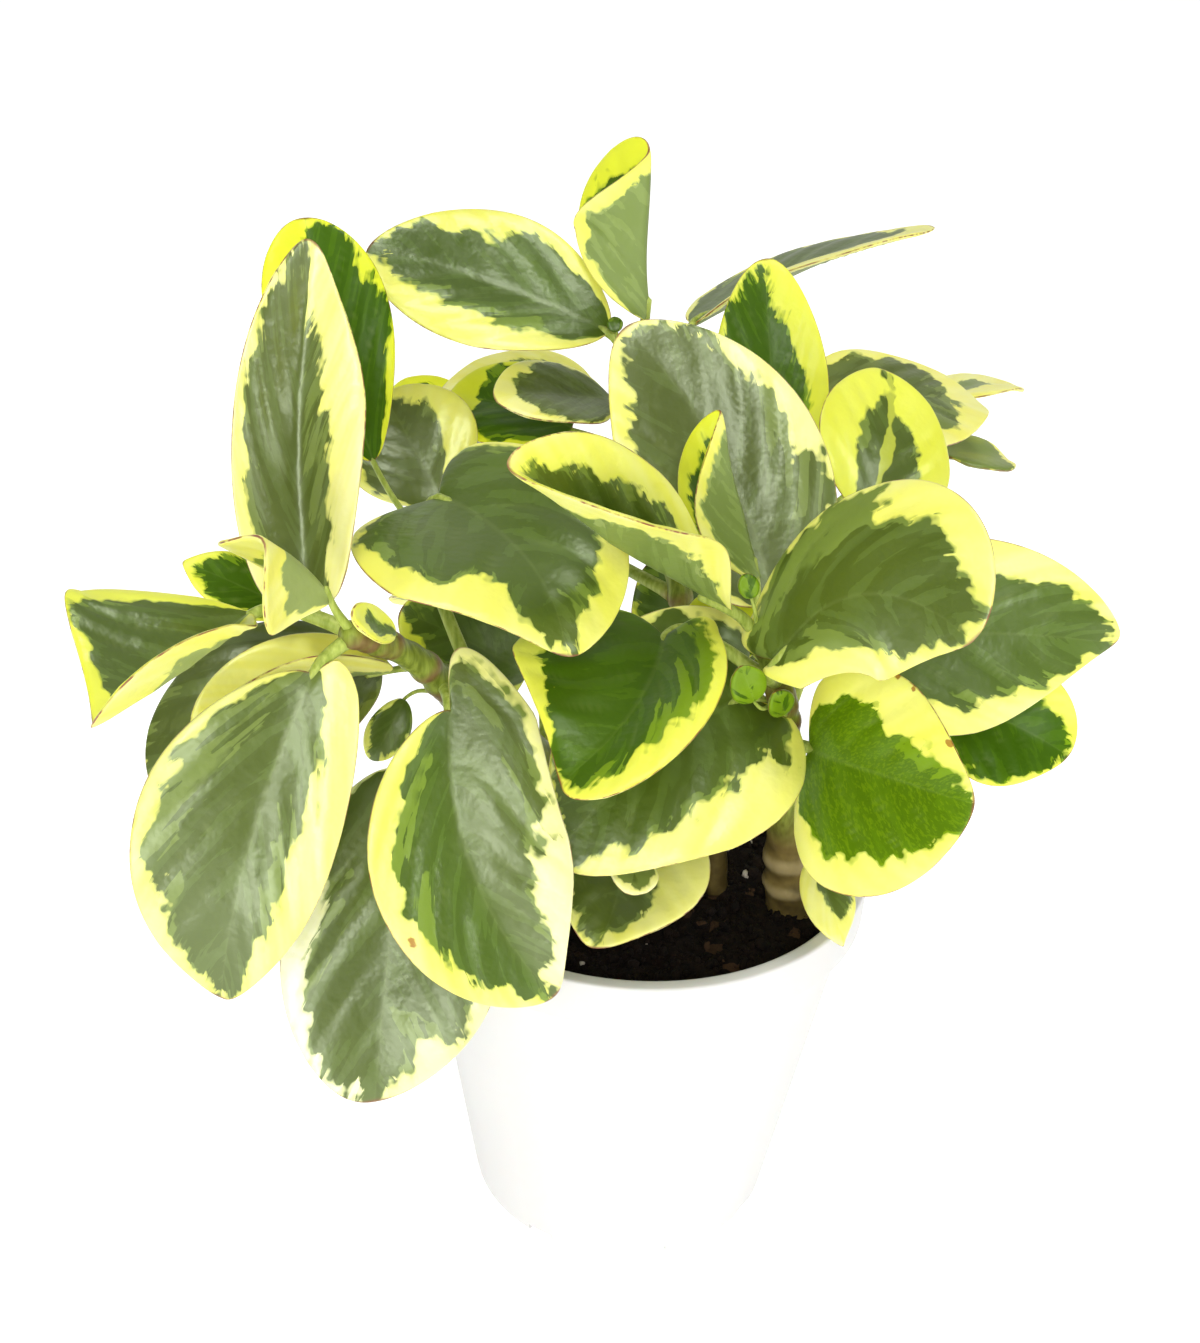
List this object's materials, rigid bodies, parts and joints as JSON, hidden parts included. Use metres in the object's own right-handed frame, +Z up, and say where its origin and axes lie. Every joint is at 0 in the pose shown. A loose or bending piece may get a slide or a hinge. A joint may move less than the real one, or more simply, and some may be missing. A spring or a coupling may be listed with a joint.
{
  "type": "potted peperomia",
  "caption": "Bushy variegated peperomia with thick oval leaves on fleshy stems, standing in a tapered round pot of soil.",
  "frame": {"origin": "middle of the pot's underside, on the surface that it stands on", "axes": "+Z up the pot's axis; +X to the right and -Y towards the viewer that the leafy front of the plant faces"},
  "size_m": [0.23, 0.2438, 0.2809],
  "materials": {
    "pot": "white moulded polypropylene, satin",
    "soil": "moist peat-based potting mix, crumbly and matt",
    "stem": "fleshy stem, satin",
    "leaf": "thick waxy leaf, glossy, green with a cream margin"
  },
  "bodies": {
    "root": {"pot": "pot", "soil": "soil", "stem_centre": "stem", "stem_left": "stem", "stem_rear_left": "stem", "stem_rear_right": "stem", "stem_top": "stem", "leaf_centre_01": "leaf", "leaf_centre_02": "leaf", "leaf_centre_03": "leaf", "leaf_centre_04": "leaf", "leaf_centre_05": "leaf", "leaf_centre_06": "leaf", "leaf_centre_07": "leaf", "leaf_centre_08": "leaf", "leaf_centre_09": "leaf", "leaf_centre_10": "leaf", "leaf_centre_11": "leaf", "leaf_centre_12": "leaf", "leaf_centre_13": "leaf", "leaf_centre_14": "leaf", "leaf_left_01": "leaf", "leaf_left_02": "leaf", "leaf_left_03": "leaf", "leaf_left_04": "leaf", "leaf_left_05": "leaf", "leaf_left_06": "leaf", "leaf_left_07": "leaf", "leaf_left_08": "leaf", "leaf_left_09": "leaf", "leaf_left_10": "leaf", "leaf_left_11": "leaf", "leaf_left_12": "leaf", "leaf_left_13": "leaf", "leaf_rear_left_01": "leaf", "leaf_rear_left_02": "leaf", "leaf_rear_left_03": "leaf", "leaf_rear_left_04": "leaf", "leaf_rear_left_05": "leaf", "leaf_rear_right_01": "leaf", "leaf_rear_right_02": "leaf", "leaf_rear_right_03": "leaf", "leaf_rear_right_04": "leaf", "leaf_rear_right_05": "leaf", "leaf_rear_right_06": "leaf", "leaf_rear_right_07": "leaf", "leaf_rear_right_08": "leaf", "leaf_rear_right_09": "leaf", "leaf_rear_right_10": "leaf", "leaf_top_01": "leaf", "leaf_top_02": "leaf", "leaf_top_03": "leaf", "leaf_top_04": "leaf", "leaf_top_05": "leaf", "leaf_top_06": "leaf", "leaf_top_07": "leaf", "leaf_top_08": "leaf", "leaf_top_09": "leaf"}
  },
  "joints": []
}
